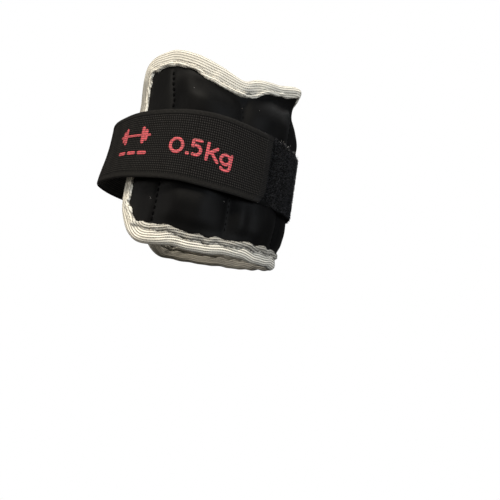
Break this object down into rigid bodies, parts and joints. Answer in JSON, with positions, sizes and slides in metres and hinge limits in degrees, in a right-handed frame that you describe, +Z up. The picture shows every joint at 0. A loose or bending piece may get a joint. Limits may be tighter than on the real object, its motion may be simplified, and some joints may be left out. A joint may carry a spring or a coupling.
{
  "type": "ankle cuff weight",
  "caption": "Wrap-round ankle cuff weight with shot-filled pockets, bound edges, and an elastic strap that closes behind the heel with hook and loop tape.",
  "frame": {"origin": "on the axis of the ankle opening, halfway up the pad", "axes": "+Z up the leg, +X to the front of the ankle, -Y to the lateral side where the strap closes"},
  "size_m": [0.1204, 0.1181, 0.112],
  "materials": {
    "cover_cloth": "smooth matte foam-backed knit",
    "lining_cloth": "brushed soft lining",
    "binding_tape": "ribbed woven tape",
    "elastic_strap": "ribbed woven elastic",
    "loop_tape": "fuzzy loop pile",
    "hook_tape": "fine moulded hooks",
    "weight_bag": "plain woven bag cloth",
    "iron_shot": "small round shot",
    "thread": "twisted sewing thread"
  },
  "bodies": {
    "pocket_1": {"cover_panel_1": "cover_cloth", "lining_panel_1": "lining_cloth", "weight_bag_1": "weight_bag", "shot_fill_1": "iron_shot", "edge_binding_1": "binding_tape", "loop_tape_1": "loop_tape", "channel_stitching_1": "thread", "lateral_flange_cover": "cover_cloth", "lateral_flange_lining": "lining_cloth", "lateral_flange_binding": "binding_tape"},
    "pocket_2": {"cover_panel_2": "cover_cloth", "lining_panel_2": "lining_cloth", "weight_bag_2": "weight_bag", "shot_fill_2": "iron_shot", "edge_binding_2": "binding_tape", "loop_tape_2": "loop_tape", "channel_stitching_2": "thread"},
    "pocket_3": {"cover_panel_3": "cover_cloth", "lining_panel_3": "lining_cloth", "weight_bag_3": "weight_bag", "shot_fill_3": "iron_shot", "edge_binding_3": "binding_tape", "loop_tape_3": "loop_tape", "channel_stitching_3": "thread", "channel_stitching_4": "thread"},
    "pocket_4": {"cover_panel_4": "cover_cloth", "lining_panel_4": "lining_cloth", "weight_bag_4": "weight_bag", "shot_fill_4": "iron_shot", "edge_binding_4": "binding_tape", "loop_tape_4": "loop_tape", "channel_stitching_5": "thread"},
    "pocket_5": {"cover_panel_5": "cover_cloth", "lining_panel_5": "lining_cloth", "weight_bag_5": "weight_bag", "shot_fill_5": "iron_shot", "edge_binding_5": "binding_tape", "channel_stitching_6": "thread", "medial_flange_cover": "cover_cloth", "medial_flange_lining": "lining_cloth", "medial_flange_binding": "binding_tape", "strap_anchor": "elastic_strap", "anchor_seam": "thread"},
    "strap_back_medial": {"strap_back_medial": "elastic_strap"},
    "strap_back_lateral": {"strap_back_lateral": "elastic_strap"},
    "strap_side": {"strap_side": "elastic_strap"},
    "strap_tab": {"strap_tab": "elastic_strap", "hook_tape": "hook_tape", "hook_tape_seam": "thread", "tab_end_band": "elastic_strap"}
  },
  "joints": [
    {"name": "front_medial_fold", "type": "hinge", "parent": "pocket_3", "child": "pocket_4", "pos_m": [0.04712, 0.01952, 0], "axis": [0, 0, -1], "range_deg": [0, 40]},
    {"name": "rear_medial_fold", "type": "hinge", "parent": "pocket_4", "child": "pocket_5", "pos_m": [0.01952, 0.04712, 0], "axis": [0, 0, -1], "range_deg": [0, 40]},
    {"name": "front_lateral_fold", "type": "hinge", "parent": "pocket_3", "child": "pocket_2", "pos_m": [0.04712, -0.01952, 0], "axis": [0, 0, 1], "range_deg": [0, 40]},
    {"name": "rear_lateral_fold", "type": "hinge", "parent": "pocket_2", "child": "pocket_1", "pos_m": [0.01952, -0.04712, 0], "axis": [0, 0, 1], "range_deg": [0, 40]},
    {"name": "strap_root_bend", "type": "hinge", "parent": "pocket_5", "child": "strap_back_medial", "pos_m": [-0.04391, 0.03394, 0], "axis": [0, 0, -1], "range_deg": [0, 60]},
    {"name": "strap_back_bend", "type": "hinge", "parent": "strap_back_medial", "child": "strap_back_lateral", "pos_m": [-0.0622, 0, 0], "axis": [0, 0, -1], "range_deg": [0, 100]},
    {"name": "strap_side_bend", "type": "hinge", "parent": "strap_back_lateral", "child": "strap_side", "pos_m": [-0.04856, -0.03659, 0], "axis": [0, 0, -1], "range_deg": [0, 100]},
    {"name": "tab_peel", "type": "hinge", "parent": "strap_side", "child": "strap_tab", "pos_m": [-0.00636, -0.06047, 0], "axis": [0, 0, -1], "range_deg": [0, 110]}
  ],
  "couplings": [
    {"joint": "rear_medial_fold", "follows": "front_medial_fold", "ratio": 1},
    {"joint": "front_lateral_fold", "follows": "front_medial_fold", "ratio": 1},
    {"joint": "rear_lateral_fold", "follows": "front_medial_fold", "ratio": 1},
    {"joint": "strap_root_bend", "follows": "front_medial_fold", "ratio": 1.5},
    {"joint": "strap_back_bend", "follows": "front_medial_fold", "ratio": 2.5},
    {"joint": "strap_side_bend", "follows": "front_medial_fold", "ratio": 2.5}
  ]
}
